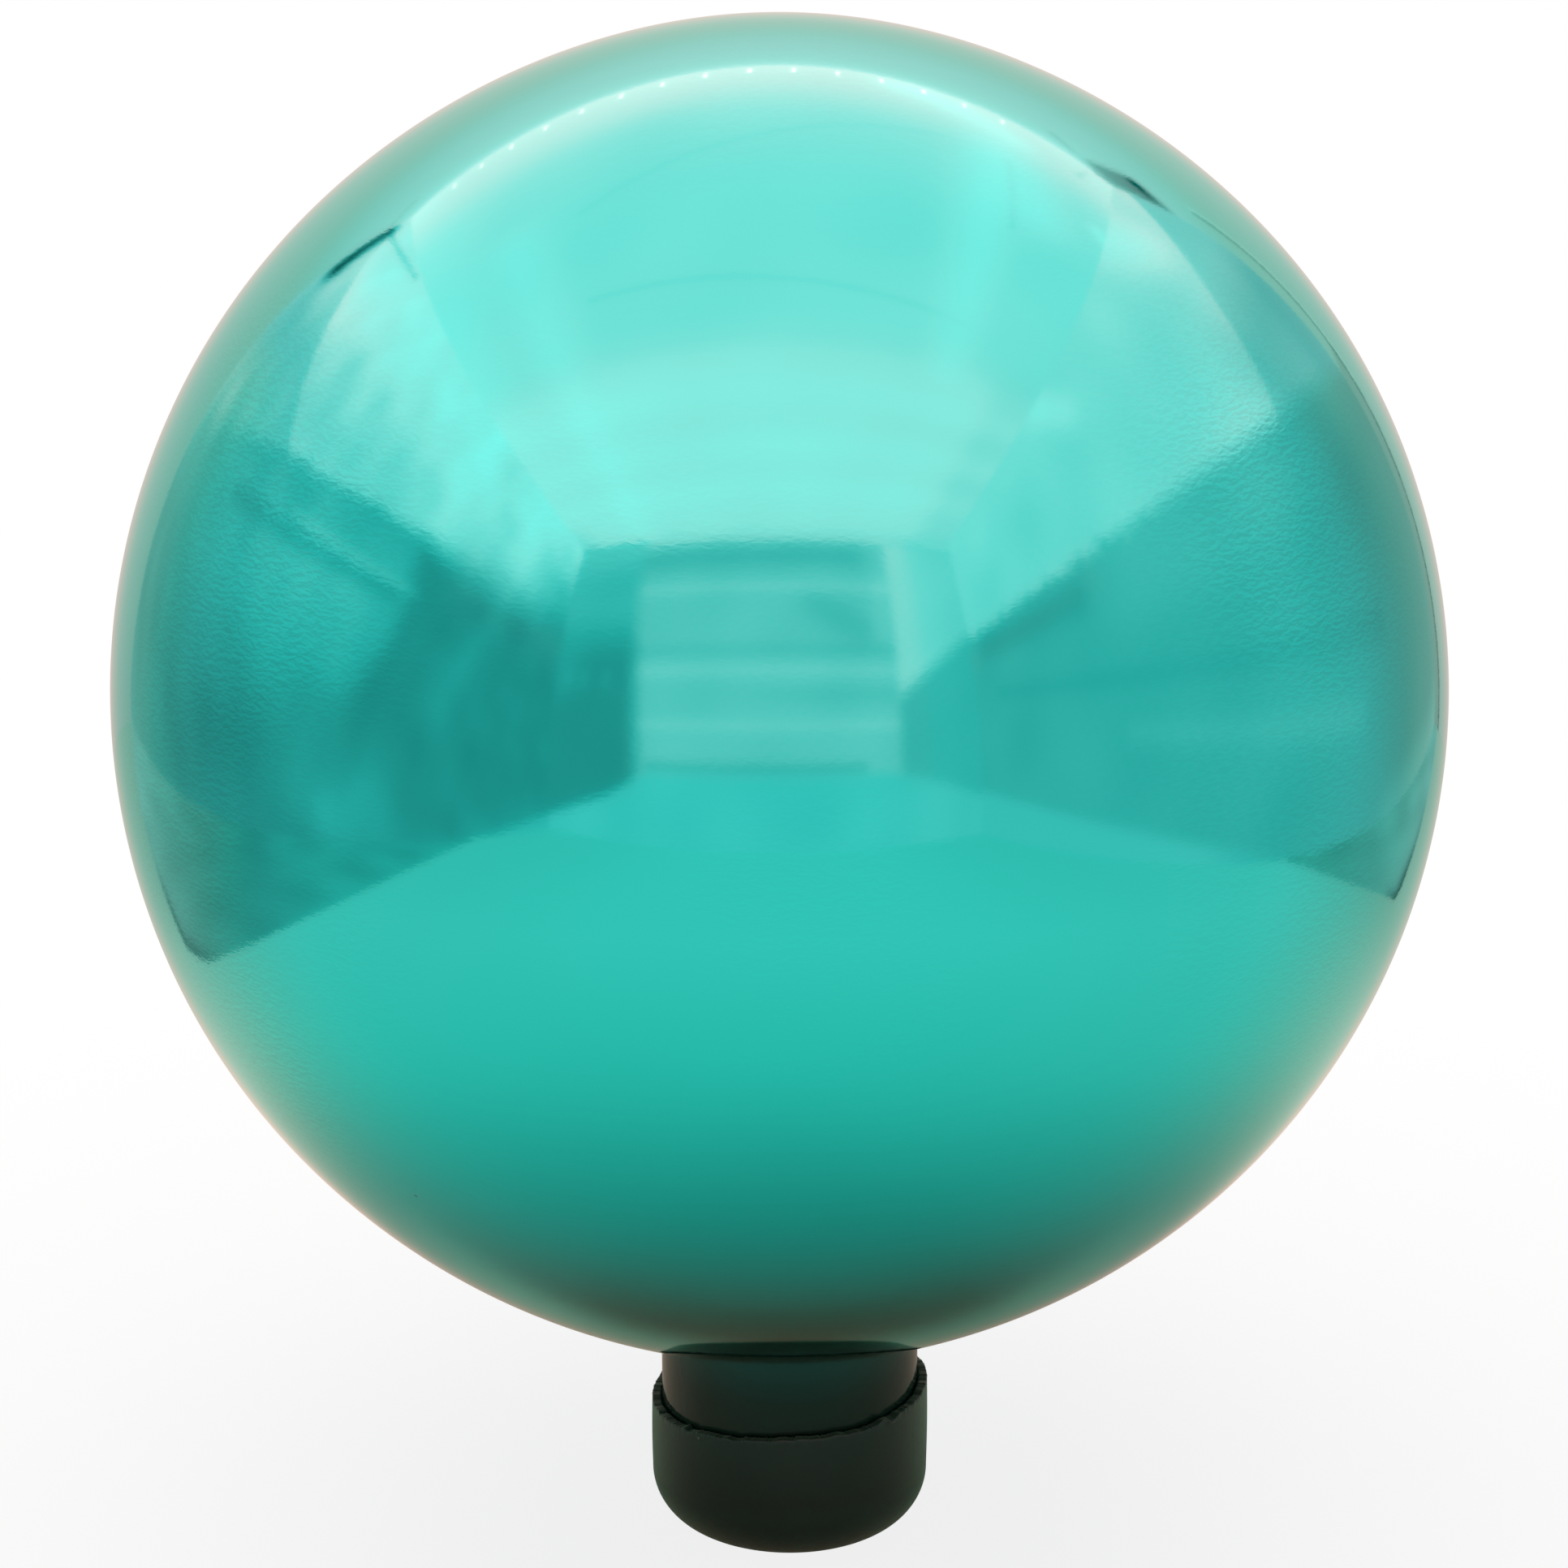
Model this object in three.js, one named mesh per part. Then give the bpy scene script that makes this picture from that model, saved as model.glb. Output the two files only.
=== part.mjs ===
// A garden gazing ball: a blown glass globe with a short round neck, and the soft cap that closes the neck.
// Millimetres, +Z up. The origin is on the ground, straight below the middle of the ball.

import * as THREE from "three";

// The blown ball, as it was before the soft glass was drawn up at the crown and down to the neck.
const ballDiameter = 254;
const ballHeight = 254.6;
const glassWall = 1.8;

// The neck, left on the ball where it came off the pipe, a little to one side of the ball's middle.
const neckDiameter = 51.7;
const neckWall = 2.4;
const bareNeckLength = 17;
const neckSideShift = 2;
const creaseRadius = 1.6;
const leanHeight = 8;

// The glass is drawn up a little at the middle of the crown, and down at the neck's root. Each draw is
// greatest there and fades out over its own reach.
const crownDraw = 1.2;
const crownReach = 50;
const neckDraw = 2.35;
const neckReach = 24.3;

// The cap, a cup of soft black rubber pushed over the end of the neck.
const capHeight = 27.8;
const capWall = 1.7;
const capBase = 2.2;
const capCornerRadius = 10.6;
const capClearance = 0.3;

// The cap's mouth was cut by hand: it climbs to one side, waves a little, and its edges are eased.
const mouthTilt = 1.9;
const mouthWave = 0.3;
const mouthEasing = 0.5;

// How finely the surfaces are divided.
const turnSteps = 64;
const outerHalfSteps = 16;
const innerHalfSteps = 11;
const cornerSteps = 6;
const edgeSteps = 4;
const halvings = 50;

// The waves round the mouth, and where they start.
const mouthWaveCount = 3;
const mouthWaveStart = Math.PI / 5;

const quarterTurn = Math.PI / 2;
const halfTurn = Math.PI;

// Sizes that follow from the ones above.
const ballRadius = ballDiameter / 2;
const ballHalfHeight = ballHeight / 2;
const neckRadius = neckDiameter / 2;
const neckBoreRadius = neckRadius - neckWall;
const lipRadius = neckWall / 2;
const capBoreRadius = neckRadius + capClearance;
const capRadius = capBoreRadius + capWall;
const capInnerCornerRadius = capCornerRadius - capWall;

// The lip of the neck stops where the cap's inside corner starts to turn in, so the cap seats on it.
const lipHeight = capBase + capInnerCornerRadius;

// How far below the ball's widest place its surface is when it has come in to the neck.
const neckRootDepth = ballHalfHeight * Math.sqrt(1 - (neckRadius / ballRadius) ** 2);
const ballCentreHeight = capHeight + bareNeckLength + neckDraw + neckRootDepth;

// Points along an ellipse's arc, from one angle to the other, in the half plane that a lathe turns.
function arcPoints(centre, radii, fromAngle, toAngle, steps) {
  const clockwise = toAngle < fromAngle;
  const arc = new THREE.EllipseCurve(
    centre.x,
    centre.y,
    radii.x,
    radii.y,
    fromAngle,
    toAngle,
    clockwise,
  );
  return arc.getPoints(steps);
}

// The same for a round arc of one radius.
function roundPoints(centre, radius, fromAngle, toAngle, steps) {
  return arcPoints(centre, new THREE.Vector2(radius, radius), fromAngle, toAngle, steps);
}

// Turns a profile of (radius, height) points about the vertical axis into a closed solid.
function turned(profile) {
  const geometry = new THREE.LatheGeometry(profile, turnSteps);
  geometry.rotateX(quarterTurn);
  return geometry;
}

// Moves each vertex by what offset(x, y, z) returns, then works the normals out again.
function shifted(geometry, offset) {
  const position = geometry.getAttribute("position");
  const vertex = new THREE.Vector3();
  for (let i = 0; i < position.count; i += 1) {
    vertex.fromBufferAttribute(position, i);
    vertex.add(offset(vertex));
    position.setXYZ(i, vertex.x, vertex.y, vertex.z);
  }
  geometry.computeVertexNormals();
  return geometry;
}

// The crease where the ball's wall turns down into the neck: a round arc that touches the ball's ellipse and
// the neck's straight side. Halving an interval finds the angle on the ellipse where the arc leaves it.
function creaseBetween(ball, neck, radius) {
  const normalAt = (angle) =>
    new THREE.Vector2(Math.cos(angle) / ball.x, Math.sin(angle) / ball.y).normalize();
  let low = -quarterTurn;
  let high = 0;
  for (let i = 0; i < halvings; i += 1) {
    const middle = (low + high) / 2;
    const reach = ball.x * Math.cos(middle) + radius * normalAt(middle).x;
    if (reach < neck + radius) low = middle;
    else high = middle;
  }
  const normal = normalAt(low);
  const height = ball.y * Math.sin(low) + radius * normal.y;
  return {
    ballAngle: low,
    centre: new THREE.Vector2(neck + radius, height),
    arcAngle: Math.atan2(-normal.y, -normal.x),
  };
}

// The wall of the globe in one profile, from the outside of the top round the lip to the inside of the top.
// Its heights are measured from the ball's widest place, and nothing is drawn up or down yet.
function globeProfile() {
  const middle = new THREE.Vector2(0, 0);
  const outerBall = new THREE.Vector2(ballRadius, ballHalfHeight);
  const innerBall = new THREE.Vector2(ballRadius - glassWall, ballHalfHeight - glassWall);
  const innerCreaseRadius = creaseRadius + neckWall;
  const outer = creaseBetween(outerBall, neckRadius, creaseRadius);
  const inner = creaseBetween(innerBall, neckBoreRadius, innerCreaseRadius);
  const lipCentreHeight = lipHeight + neckDraw - ballCentreHeight;
  const lipCentre = new THREE.Vector2(neckRadius - lipRadius, lipCentreHeight);
  return [
    ...arcPoints(middle, outerBall, quarterTurn, 0, outerHalfSteps),
    ...arcPoints(middle, outerBall, 0, outer.ballAngle, outerHalfSteps).slice(1),
    ...roundPoints(outer.centre, creaseRadius, outer.arcAngle, halfTurn, edgeSteps).slice(1),
    ...roundPoints(lipCentre, lipRadius, 0, -halfTurn, edgeSteps),
    ...roundPoints(inner.centre, innerCreaseRadius, halfTurn, inner.arcAngle, edgeSteps),
    ...arcPoints(middle, innerBall, inner.ballAngle, 0, innerHalfSteps).slice(1),
    ...arcPoints(middle, innerBall, 0, quarterTurn, innerHalfSteps).slice(1),
  ];
}

// The globe is turned whole on the ball's own axis. Then its crown is drawn up and its neck down, and the
// glass at the neck's root leans over to the neck's side.
function globeGeometry() {
  const rootTop = leanHeight - neckRootDepth;
  const pull = (vertex) => {
    const radius = Math.hypot(vertex.x, vertex.y);
    if (vertex.z > 0) return new THREE.Vector3(0, 0, crownDraw * Math.exp(-((radius / crownReach) ** 2)));
    const outside = Math.max(radius - neckRadius, 0);
    const lean = 1 - THREE.MathUtils.smoothstep(vertex.z, -neckRootDepth, rootTop);
    return new THREE.Vector3(neckSideShift * lean, 0, -neckDraw * Math.exp(-outside / neckReach));
  };
  return shifted(turned(globeProfile().reverse()), pull);
}

// The wall of the cap in one profile, from the middle of its underside over the mouth to its inside floor.
function capProfile() {
  const outerCorner = new THREE.Vector2(capRadius - capCornerRadius, capCornerRadius);
  const innerCorner = new THREE.Vector2(capBoreRadius - capInnerCornerRadius, lipHeight);
  const outerEdge = new THREE.Vector2(capRadius - mouthEasing, capHeight - mouthEasing);
  const innerEdge = new THREE.Vector2(capBoreRadius + mouthEasing, capHeight - mouthEasing);
  return [
    new THREE.Vector2(0, 0),
    ...roundPoints(outerCorner, capCornerRadius, -quarterTurn, 0, cornerSteps),
    ...roundPoints(outerEdge, mouthEasing, 0, quarterTurn, edgeSteps),
    ...roundPoints(innerEdge, mouthEasing, quarterTurn, halfTurn, edgeSteps),
    ...roundPoints(innerCorner, capInnerCornerRadius, 0, -quarterTurn, cornerSteps),
    new THREE.Vector2(0, capBase),
  ];
}

// The straight part of the cap's wall is stretched up or down to meet the uneven cut of the mouth.
function capGeometry() {
  const cut = (vertex) => {
    const angle = Math.atan2(vertex.y, vertex.x);
    const wave = mouthWave * Math.sin(mouthWaveCount * angle + mouthWaveStart);
    const rise = mouthTilt * Math.cos(angle) + wave;
    const share = (vertex.z - lipHeight) / (capHeight - lipHeight);
    return new THREE.Vector3(0, 0, rise * Math.max(share, 0));
  };
  return shifted(turned(capProfile()), cut);
}

// Silvered inside and lacquered clear teal outside, the glass looks like coloured mirror.
const tealMirror = new THREE.MeshStandardMaterial({ color: 0x35b5a8, roughness: 0.06, metalness: 0.95 });
const blackRubber = new THREE.MeshStandardMaterial({ color: 0x1d231f, roughness: 0.8, metalness: 0 });

const glassGlobe = new THREE.Mesh(globeGeometry(), tealMirror);
glassGlobe.name = "glass_globe";
glassGlobe.position.z = ballCentreHeight;

const rubberCap = new THREE.Mesh(capGeometry(), blackRubber);
rubberCap.name = "rubber_cap";
rubberCap.position.x = neckSideShift;

const gazingBall = new THREE.Group();
gazingBall.add(glassGlobe, rubberCap);

export default gazingBall;
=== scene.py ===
"""A garden gazing ball: a blown globe, silvered inside and lacquered teal outside, and the black rubber cap
on its neck. The globe and the cap are surfaces worked out on grids and stand in the places of the frame's
two nodes. Round them stand a pale floor and a light tent, which only the mirror sees."""

import math

import bpy
import numpy as np
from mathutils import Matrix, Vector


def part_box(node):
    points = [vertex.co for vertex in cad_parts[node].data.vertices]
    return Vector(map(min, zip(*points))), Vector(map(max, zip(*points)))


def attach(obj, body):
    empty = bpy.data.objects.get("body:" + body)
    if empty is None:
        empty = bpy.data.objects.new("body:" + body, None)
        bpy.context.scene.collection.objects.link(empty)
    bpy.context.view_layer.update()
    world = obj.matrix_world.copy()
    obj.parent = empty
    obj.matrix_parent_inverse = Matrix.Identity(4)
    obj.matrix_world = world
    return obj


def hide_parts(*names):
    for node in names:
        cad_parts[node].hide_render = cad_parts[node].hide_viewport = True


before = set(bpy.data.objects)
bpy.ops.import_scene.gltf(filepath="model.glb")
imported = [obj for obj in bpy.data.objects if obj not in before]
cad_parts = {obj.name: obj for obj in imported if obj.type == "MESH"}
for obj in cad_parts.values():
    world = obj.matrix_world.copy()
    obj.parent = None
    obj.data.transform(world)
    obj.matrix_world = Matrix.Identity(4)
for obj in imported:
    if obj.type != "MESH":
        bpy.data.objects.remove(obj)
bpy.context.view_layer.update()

# The globe, in metres. Its lip and the top of its crown are where the frame has them.
BALL_RADIUS = 0.127
BALL_HALF_HEIGHT = 0.1273
BALL_WALL = 0.0018
NECK_RADIUS = 0.02585
NECK_WALL = 0.0024
NECK_SHIFT = 0.002
CREASE_RADIUS = 0.0016
LEAN_HEIGHT = 0.008
CROWN_DRAW = 0.0012
CROWN_REACH = 0.05
CROWN_FADE = 0.02
NECK_DRAW = 0.00235
NECK_REACH = 0.0243
globe_low, globe_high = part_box("glass_globe")
LIP_HEIGHT = globe_low.z
BALL_CENTRE = globe_high.z - CROWN_DRAW - BALL_HALF_HEIGHT
NECK_ROOT_DEPTH = BALL_HALF_HEIGHT * math.sqrt(1 - (NECK_RADIUS / BALL_RADIUS) ** 2)

# Blown glass is never quite even: this much, over waves about this long, from this far above the root.
GLASS_WAVE = 0.00007
GLASS_WAVE_LENGTH = 0.075
GLASS_WAVE_START = 0.03

# Ripples of lacquer that sagged before it set: about this long, and this many times as long as high. Their
# slope, taken over this step upwards, sets the shade painted on them.
RIPPLE_LENGTH = 0.0019
RIPPLE_STRETCH = 2.6
RIPPLE_STEP = 0.00025

# The ripples deepen on the flanks, between these shares of the ball's radius to the side, fade between these
# heights, and lie in patches about this long, from one to the other of these heights of their waves. Off the
# flanks and off the patches these shares are left.
FLANK_START = 0.40
FLANK_END = 0.66
FLANK_FADE_START = 0.06
FLANK_FADE_END = 0.095
PEEL_PATCH = 0.09
PATCH_EDGE = -0.3
PATCH_FULL = 0.9
PEEL_OFF_FLANKS = 0.12
PEEL_OFF_PATCHES = 0.28

# The silvering: a little on the neck, ending this far down it, and growing to full between these distances
# from the neck's side.
SILVER_ON_NECK = 0.07
SILVER_START = 0.002
SILVER_FULL = 0.014
SILVER_END = 0.012

# The cap, in metres, turned about the neck's own axis. The last two are shares of its straight wall.
CAP_HEIGHT = 0.0278
CAP_WALL = 0.0017
CAP_BASE = 0.0022
CAP_CORNER_RADIUS = 0.0106
CAP_BORE_RADIUS = NECK_RADIUS + 0.0003
CAP_RADIUS = CAP_BORE_RADIUS + CAP_WALL
CAP_INNER_CORNER = CAP_CORNER_RADIUS - CAP_WALL
CAP_BULGE = 0.00012
MOUTH_TILT = 0.0019
MOUTH_WAVE = 0.0003
MOUTH_WAVE_COUNT = 3.0
MOUTH_WAVE_START = math.pi / 5
MOUTH_EASING = 0.00025
MOUTH_START = 0.94
CUT_FACE_START = 0.985

# The knife's marks round the mouth: how far the cut wanders up and down and how far its edges are nicked,
# with the whole numbers of waves that each is made of.
CUT_WANDER = 0.00018
CUT_NICKS = 0.00005
WANDER_COUNTS = (4, 7, 9, 13, 19, 31, 47)
NICK_COUNTS = (61, 83, 97, 131, 163, 197, 229)

# Where the knife slipped: a sliver that hangs from the rim at the front right, with its notch beside it, and
# a burr at the front left. The widths are angles too, and the leans are shares of the sizes.
SLIVER_ANGLE = math.radians(-43)
SLIVER_WIDTH = 0.06
SLIVER_SIZE = 0.0005
SLIVER_LEAN = 0.5
NOTCH_TURN = 0.10
NOTCH_WIDTH = 0.03
NOTCH_SHARE = 0.5
BURR_ANGLE = math.radians(-139)
BURR_WIDTH = 0.025
BURR_SIZE = 0.0004
BURR_LEAN = 0.4

# How finely the surfaces are divided, round the axis and along each stretch of the two walls, and how many
# sines a wandering value has.
HALVINGS = 50
GLOBE_STEPS = 256
BALL_POINTS = 270
CREASE_POINTS = 14
NECK_POINTS = 20
LIP_POINTS = 8
BORE_POINTS = 8
INSIDE_POINTS = 60
CAP_STEPS = 700
CAP_FLOOR_POINTS = 8
CAP_INNER_CORNER_POINTS = 10
CAP_BORE_POINTS = 24
CAP_EDGE_POINTS = 5
CAP_SIDE_POINTS = 34
CAP_CORNER_POINTS = 24
CAP_UNDERSIDE_POINTS = 12
WAVE_SINES = 9
PATCH_SINES = 7

# Colours of the lacquer over silver, of the bare glass of the neck and of a fleck in the lacquer.
LACQUER_DEEP = (0.004, 0.555, 0.475)
LACQUER_PALE = (0.005, 0.600, 0.520)
BARE_GLASS = (0.013, 0.040, 0.024)
FLECK = (0.010, 0.210, 0.170)

# Colours of the rubber, of the light painted on its foot, of its cut face, paler partly in its own tone and
# partly by painted light, and of dust.
RUBBER_DEEP = (0.0062, 0.0235, 0.0140)
RUBBER_PALE = (0.0105, 0.0320, 0.0205)
RUBBER_FOOT_PAINTED_LIGHT = (0.028, 0.095, 0.066)
RUBBER_CUT_FACE_WITH_PAINTED_LIGHT = (0.0300, 0.0500, 0.0340)
DUST = (0.11, 0.12, 0.10)

# The tent: where its cloth hangs, in metres from the middle of the ball's foot, how high the shade is on its
# sides, and how far the lamps' glare reaches down its back.
TENT_LEFT = -0.65
TENT_RIGHT = 0.55
TENT_FRONT = -0.93
TENT_BACK = 0.60
TENT_TOP = 0.88
SHADE_HEIGHT = 0.545
GLARE_REACH = 0.02
CLOTH_SPACING = 0.005

# Cloth with light behind it: how its red follows its level, and its blue's share of it.
RED_GAIN = 1.86
RED_POWER = 3.6
RED_LEAST_SHARE = 0.62
RED_MOST = 5.2
BLUE_SHARE = 1.03

# The row of lamps under the lamp cloth.
LAMP_COUNT = 15
LAMP_ROW = (-0.53, 0.325)
LAMP_ALONG = (0.545, 0.578)
LAMP_HALF_WIDTH = 0.003
LAMP_DROP = 0.004
LAMP_LIGHT = (9.5, 2.0, 2.15)

# The two flaps of cloth on the floor: places along the wall, and how far in each reaches there.
FLAP_HEIGHT = 0.002
FLAP_SPACING = 0.02
LEFT_FLAP_ALONG = (-0.63, 0.11, 0.165, 0.60)
LEFT_FLAP_REACH = (TENT_LEFT, -0.297, -0.297, TENT_LEFT)
RIGHT_FLAP_ALONG = (-0.07, 0.23, 0.60)
RIGHT_FLAP_REACH = (TENT_RIGHT, 0.332, 0.51)

# Edges across the cloths, each a start and an end on the sheet's own two coordinates.
LEFT_FLAP_EDGE = ((0.10, 0.46), (0.56, 0.81))
LEFT_LAID_EDGE = ((-0.65, 0.0), (-0.93, 0.042))
RIGHT_FLAP_FRONT = ((0.33, 0.64), (0.15, 0.44))
RIGHT_FLAP_TOP = ((0.50, 0.76), (0.30, 0.61))
RIGHT_LAID_EDGE = ((-0.04, 0.0), (-0.93, 0.12))
CURTAIN_EDGE = ((-0.400, 0.65), (-0.363, 0.20))
CURTAIN_STRIP = ((0.285, 0.72), (0.275, 0.56))
SLANTING_EDGE = ((0.30, 0.375), (0.55, 0.560))
CORNER_FOLDS = (-0.60, -0.545, -0.47)

# Soft marks on the cloths: how much each adds to the level, its width and its two ends.
LEFT_SHADE_MARKS = {
    "pale fold by the front corner": (0.10, 0.045, (-0.62, 0.48), (-0.50, 0.28)),
    "pale foot": (0.11, 0.045, (-0.33, 0.10), (-0.22, 0.05)),
    "dark foot": (-0.07, 0.05, (-0.54, 0.03), (-0.44, 0.04)),
    "seam": (0.13, 0.010, (-0.37, 0.440), (0.00, 0.420)),
    "shade under the seam": (-0.15, 0.015, (-0.31, 0.416), (0.20, 0.370)),
}
LEFT_GAP_MARKS = {
    "gap in the back corner": (-1.25, 0.030, (0.562, 0.675), (0.584, 0.815)),
    "crease from the gap's top": (-0.40, 0.008, (0.594, 0.812), (0.270, 0.863)),
}
RIGHT_BRIGHT_MARKS = {
    "pale fold under the top": (0.18, 0.05, (-0.32, 0.87), (-0.27, 0.79)),
}
RIGHT_SHADE_MARKS = {
    "dark band under the edge": (-0.13, 0.035, (-0.84, 0.49), (-0.48, 0.46)),
    "dark crease": (-0.05, 0.02, (-0.80, 0.36), (0.20, 0.19)),
    "pale crease": (0.06, 0.022, (-0.40, 0.205), (0.10, 0.125)),
}
CURTAIN_MARKS = {
    "slanting shade": (-0.10, 0.05, (0.10, 0.64), (0.22, 0.56)),
    "shade at the hem": (-0.18, 0.02, (-0.32, 0.20), (0.20, 0.20)),
}
BACK_MARKS = {
    "seam": (-0.45, 0.005, (0.492, 0.0), (0.486, 0.60)),
    "light by the seam": (0.20, 0.005, (0.478, 0.30), (0.474, 0.60)),
    "crease at the top right": (-0.20, 0.008, (0.370, 0.800), (0.430, 0.835)),
    "crease at the top left": (-0.20, 0.006, (-0.645, 0.806), (-0.560, 0.798)),
    "gap, near side": (-0.55, 0.020, (0.474, 0.830), (0.488, 0.748)),
    "gap, middle": (-0.50, 0.020, (0.503, 0.842), (0.518, 0.756)),
    "gap, far side": (-0.55, 0.020, (0.532, 0.850), (0.545, 0.760)),
    "gap, top": (-0.45, 0.010, (0.500, 0.872), (0.524, 0.872)),
    "gap, foot": (-0.60, 0.018, (0.492, 0.742), (0.555, 0.724)),
}
TOP_MARKS = {
    "left seam": (0.10, 0.06, (-0.43, 0.10), (-0.42, -0.93)),
    "right seam": (0.12, 0.05, (0.30, 0.40), (0.32, -0.30)),
    "light behind the right seam": (0.15, 0.07, (0.36, 0.36), (0.40, 0.22)),
    "back crease": (-0.05, 0.006, (-0.30, 0.11), (0.31, 0.38)),
    "front crease": (-0.07, 0.007, (-0.32, -0.13), (0.33, -0.19)),
    "fold by the right seam": (-0.12, 0.006, (0.338, 0.36), (0.362, 0.12)),
    "light at the right side": (0.22, 0.02, (0.53, 0.30), (0.55, 0.29)),
    "fold in the right corner": (-0.15, 0.008, (0.47, 0.50), (0.49, 0.57)),
    "light by the last lamps": (0.24, 0.05, (0.18, 0.55), (0.34, 0.48)),
}

# The floor: half its width, its own colour, its colours in the mirror near and far from the ball, and the
# glow at the ball's foot.
FLOOR_HALF_WIDTH = 4.0
FLOOR_COLOUR = (0.88, 0.87, 0.84)
NEAR_FRONT_LEFT = (0.53, 1.0, 0.97)
NEAR_FRONT_RIGHT = (0.68, 1.0, 0.97)
NEAR_BEHIND = (1.20, 0.86, 0.74)
FAR_FRONT = (0.86, 0.93, 0.91)
FAR_BEHIND = (0.60, 0.56, 0.48)
GLOW_FRONT = (0.15, 0.024, 0.013)
GLOW_BEHIND = (0.21, 0.156, 0.113)
WHITE = (1.0, 1.0, 1.0)

# How the photograph was taken: from this far, this high above the level of the ball's middle, and with the
# ball's middle at this pixel of a square picture this wide.
CAMERA_DISTANCE = 0.700
CAMERA_ELEVATION = math.radians(13.4)
PICTURE_SIZE = 1932
BALL_PIXEL_X = 960.5
BALL_PIXEL_Y = 853.6
BALL_PIXEL_RADIUS = 824.9
SENSOR_WIDTH = 36.0

QUARTER = math.pi / 2
FULL_TURN = 2.0 * math.pi


def soft_step(value, start, end):
    """0 before start, 1 after end, and between them 3t^2 - 2t^3 of the share t of the way."""
    share = np.clip((value - start) / (end - start), 0.0, 1.0)
    return share * share * (3.0 - 2.0 * share)


def fall(value, start, end):
    """The same step downwards: 1 before start and 0 after end."""
    return soft_step(-value, -end, -start)


def bell(value, middle, width):
    """A hump 1 high: e to the minus square of the distance from the middle over the width."""
    return np.exp(-(((value - middle) / width) ** 2))


def between(first, second, share):
    """The first value where the share is 0 and the second where it is 1."""
    return first + (second - first) * share


def arc(centre, radii, start, end, count):
    """Points (radius, height) on an ellipse's arc: centre plus radius times the angle's cosine or sine."""
    angle = np.linspace(start, end, count)
    return np.stack([centre[0] + radii[0] * np.cos(angle), centre[1] + radii[1] * np.sin(angle)], axis=1)


def ring_waves(angle, counts, seed):
    """A wavy line that closes on itself: the sum of sines with whole wave counts and seeded phases, over the
    square root of their number."""
    rng = np.random.default_rng(seed)
    phases = rng.uniform(0.0, FULL_TURN, len(counts))
    waves = [np.sin(count * angle + phase) for count, phase in zip(counts, phases)]
    return np.sum(waves, axis=0) / math.sqrt(len(counts))


def near_angle(angle, place, width):
    """The same hump as bell's, round one angle."""
    return bell(np.arctan2(np.sin(angle - place), np.cos(angle - place)), 0.0, width)


def space_waves(points, length, count, seed):
    """A smooth wandering value at points in space: the sum of sines along seeded directions, whose waves are
    near the given length, over the square root of their number."""
    rng = np.random.default_rng(seed)
    total = np.zeros(len(points))
    for _ in range(count):
        direction = rng.normal(size=3)
        direction *= FULL_TURN / (length * rng.uniform(0.7, 1.5)) / np.linalg.norm(direction)
        total += np.sin(points @ direction + rng.uniform(0.0, FULL_TURN))
    return total / math.sqrt(count)


def turned_grid(profile, steps):
    """A profile turned about the vertical axis: each point (radius, height) at each angle, as arrays of
    x, y, z and angle with one row for each point. The first and last points lie on the axis."""
    angle = np.linspace(0.0, FULL_TURN, steps, endpoint=False)
    radius, height = profile[:, :1], profile[:, 1:]
    return radius * np.cos(angle), radius * np.sin(angle), height + 0.0 * angle, angle + 0.0 * radius


def closed_turning(name, x, y, z, values):
    """A closed mesh from rows of points round an axis. The first and last rows shrink to a point each, and
    fans close the two ends. values are named rows of numbers that the material reads."""
    rows, steps = x.shape
    inner = np.stack([x[1:-1].ravel(), y[1:-1].ravel(), z[1:-1].ravel()], axis=1)
    ends = np.array([[x[0, 0], y[0, 0], z[0, 0]], [x[-1, 0], y[-1, 0], z[-1, 0]]])
    points = np.concatenate([inner, ends])
    here = np.arange(steps)
    after = (here + 1) % steps
    row = (np.arange(rows - 3) * steps)[:, None]
    below = row + steps
    quads = np.stack([row + here, below + here, below + after, row + after], axis=2).reshape(-1, 4)
    last_row = (rows - 3) * steps
    first_end, last_end = len(inner), len(inner) + 1
    first_fan = np.stack([np.full(steps, first_end), here, after], axis=1)
    last_fan = np.stack([np.full(steps, last_end), last_row + after, last_row + here], axis=1)
    mesh = bpy.data.meshes.new(name)
    mesh.from_pydata(points.tolist(), [], quads.tolist() + first_fan.tolist() + last_fan.tolist())
    mesh.polygons.foreach_set("use_smooth", np.ones(len(mesh.polygons), dtype=bool))
    for label, value in values.items():
        layer = mesh.attributes.new(label, "FLOAT", "POINT")
        flat = np.concatenate([value[1:-1].ravel(), [value[0, 0], value[-1, 0]]])
        layer.data.foreach_set("value", flat.astype(np.float32))
    mesh.update()
    piece = bpy.data.objects.new(name, mesh)
    bpy.context.scene.collection.objects.link(piece)
    return piece


def crease_between(ball, neck, radius):
    """The round arc in the corner of a ball and a straight neck. Its centre is one arc radius outside both:
    the angle on the ball's ellipse where that holds is found by halving an interval."""
    def normal_at(angle):
        normal = np.array([math.cos(angle) / ball[0], math.sin(angle) / ball[1]])
        return normal / np.linalg.norm(normal)

    low, high = -QUARTER, 0.0
    for _ in range(HALVINGS):
        middle = (low + high) / 2
        reach = ball[0] * math.cos(middle) + radius * normal_at(middle)[0]
        if reach < neck + radius:
            low = middle
        else:
            high = middle
    normal = normal_at(low)
    centre = (neck + radius, ball[1] * math.sin(low) + radius * normal[1])
    return low, centre, math.atan2(-normal[1], -normal[0])


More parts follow.
